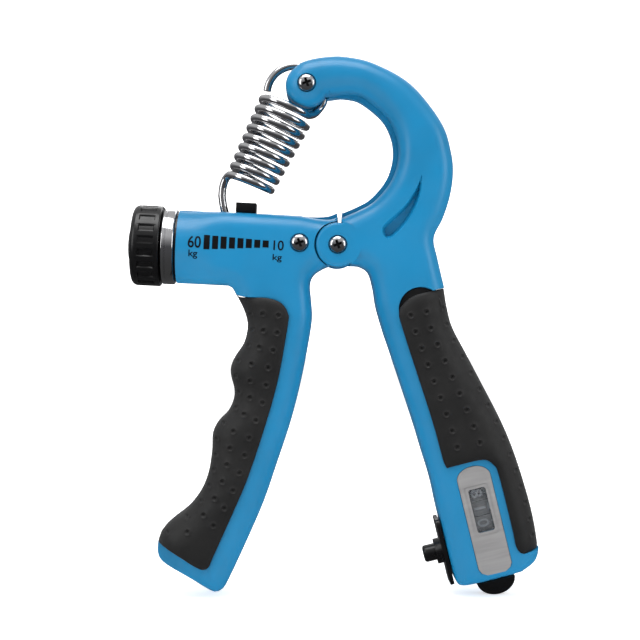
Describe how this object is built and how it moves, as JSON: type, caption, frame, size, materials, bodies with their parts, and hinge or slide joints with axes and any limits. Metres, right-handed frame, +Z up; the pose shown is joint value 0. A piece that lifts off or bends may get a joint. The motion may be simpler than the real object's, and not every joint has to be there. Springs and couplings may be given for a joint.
{
  "type": "hand grip strengthener",
  "caption": "Adjustable hand grip strengthener: two sprung handles, a tension knob with a travelling pointer, soft grips and a squeeze counter.",
  "frame": {"origin": "centre of the bounding box at its lowest point, the tool standing upright on the reset knob", "axes": "+X across the handles towards the counter handle, +Y out of the back face, +Z up towards the C arm"},
  "size_m": [0.1218, 0.0244, 0.1598],
  "materials": {
    "blue_plastic": "satin moulded blue plastic",
    "grip_rubber": "matt charcoal soft grip with dimples",
    "black_plastic": "black moulded plastic",
    "chrome": "bright plated steel",
    "steel": "plain zinc plated steel",
    "silver_label": "satin silver plate",
    "clear_window": "clear plastic window",
    "white_acetal": "white bearing plastic"
  },
  "bodies": {
    "right_handle": {"right_shell_front": "blue_plastic", "right_shell_back": "blue_plastic", "right_grip": "grip_rubber", "counter_label": "silver_label", "counter_window": "clear_window", "counter_case": "black_plastic", "spring_web": "steel", "pivot_screw": "chrome", "pivot_sleeve_nut": "steel", "anchor_screw": "chrome", "anchor_sleeve_nut": "steel", "pivot_washer_front": "white_acetal", "pivot_washer_back": "white_acetal", "button_return_spring": "steel", "pinion_shaft": "steel"},
    "left_handle": {"left_shell_front": "blue_plastic", "left_shell_back": "blue_plastic", "left_grip": "grip_rubber", "barrel_screw": "chrome", "barrel_sleeve_nut": "steel", "pivot_bush": "white_acetal", "chrome_collar": "chrome", "barrel_gasket": "black_plastic", "leadscrew_end_block": "black_plastic"},
    "knob": {"adjust_knob": "black_plastic", "knob_end_cap": "black_plastic", "knob_screw": "steel", "leadscrew": "steel", "leadscrew_clip": "steel"},
    "slider": {"slider_nut": "black_plastic", "hook_pin": "steel"},
    "spring_swing": {"spring_anchor_bush": "steel"},
    "spring_top": {"spring_upper_loop": "chrome"},
    "spring_middle": {"spring_coil": "chrome"},
    "spring_end": {"spring_lower_hook": "chrome"},
    "button": {"count_button": "black_plastic"},
    "reset": {"reset_knob": "black_plastic", "wheel_shaft": "steel"},
    "units": {"units_wheel": "black_plastic"},
    "tens": {"tens_wheel": "black_plastic"},
    "hundreds": {"hundreds_wheel": "black_plastic"},
    "pinion_upper": {"carry_pinion_upper": "white_acetal"},
    "pinion_lower": {"carry_pinion_lower": "white_acetal"}
  },
  "joints": [
    {"name": "grip_squeeze", "type": "hinge", "parent": "right_handle", "child": "left_handle", "pos_m": [0.0014, 0, 0.104], "axis": [0, -1, 0], "range_deg": [0, 32.6], "stiffness_Nm_per_rad": 3, "springref_deg": -17.19},
    {"name": "knob_turn", "type": "hinge", "parent": "left_handle", "child": "knob", "pos_m": [-0.0596, 0, 0.1044], "axis": [0.9989, 0, -0.0471], "range_deg": [-1540, 1165]},
    {"name": "slider_travel", "type": "slide", "parent": "left_handle", "child": "slider", "axis": [0.9989, 0, -0.0471], "range_m": [-0.0086, 0.0065]},
    {"name": "spring_swing", "type": "hinge", "parent": "right_handle", "child": "spring_swing", "pos_m": [-0.0077, 0, 0.1513], "axis": [0, -1, 0], "range_deg": [0, 10.5]},
    {"name": "spring_aim", "type": "hinge", "parent": "spring_swing", "child": "spring_top", "pos_m": [-0.0077, 0, 0.1513], "axis": [0, -1, 0], "range_deg": [-9, 9], "deforming": ["spring_upper_loop"]},
    {"name": "spring_stretch", "type": "slide", "parent": "spring_top", "child": "spring_middle", "axis": [-0.4438, 0, -0.8961], "range_m": [0, 0.0165], "deforming": ["spring_coil"]},
    {"name": "spring_follow", "type": "slide", "parent": "spring_middle", "child": "spring_end", "axis": [-0.4438, 0, -0.8961], "range_m": [-0.0045, 0.0045], "deforming": ["spring_lower_hook"]},
    {"name": "button_press", "type": "slide", "parent": "right_handle", "child": "button", "axis": [0.9718, 0, 0.236], "range_m": [0, 0.002], "stiffness_N_per_m": 100, "springref_m": -0.003, "deforming": ["button_return_spring"]},
    {"name": "reset_turn", "type": "hinge", "parent": "right_handle", "child": "reset", "pos_m": [0.0434, 0, 0.0264], "axis": [0.236, 0, -0.9718], "continuous": true},
    {"name": "units_turn", "type": "hinge", "parent": "right_handle", "child": "units", "pos_m": [0.0434, 0, 0.0264], "axis": [0.236, 0, -0.9718], "continuous": true},
    {"name": "tens_turn", "type": "hinge", "parent": "right_handle", "child": "tens", "pos_m": [0.0434, 0, 0.0264], "axis": [0.236, 0, -0.9718], "continuous": true},
    {"name": "hundreds_turn", "type": "hinge", "parent": "right_handle", "child": "hundreds", "pos_m": [0.0434, 0, 0.0264], "axis": [0.236, 0, -0.9718], "continuous": true},
    {"name": "pinion_upper_turn", "type": "hinge", "parent": "right_handle", "child": "pinion_upper", "pos_m": [0.04884, 0.0057, 0.02772], "axis": [0.236, 0, -0.9718], "continuous": true},
    {"name": "pinion_lower_turn", "type": "hinge", "parent": "right_handle", "child": "pinion_lower", "pos_m": [0.04884, 0.0057, 0.02772], "axis": [0.236, 0, -0.9718], "continuous": true}
  ],
  "couplings": [
    {"joint": "slider_travel", "follows": "knob_turn", "m_per_rad": 0.00031831},
    {"joint": "spring_swing", "follows": "grip_squeeze", "ratio": 0.2915},
    {"joint": "spring_aim", "follows": "knob_turn", "ratio": 0.00508},
    {"joint": "spring_stretch", "follows": "grip_squeeze", "m_per_rad": 0.02696},
    {"joint": "spring_follow", "follows": "knob_turn", "m_per_rad": -0.000151}
  ]
}
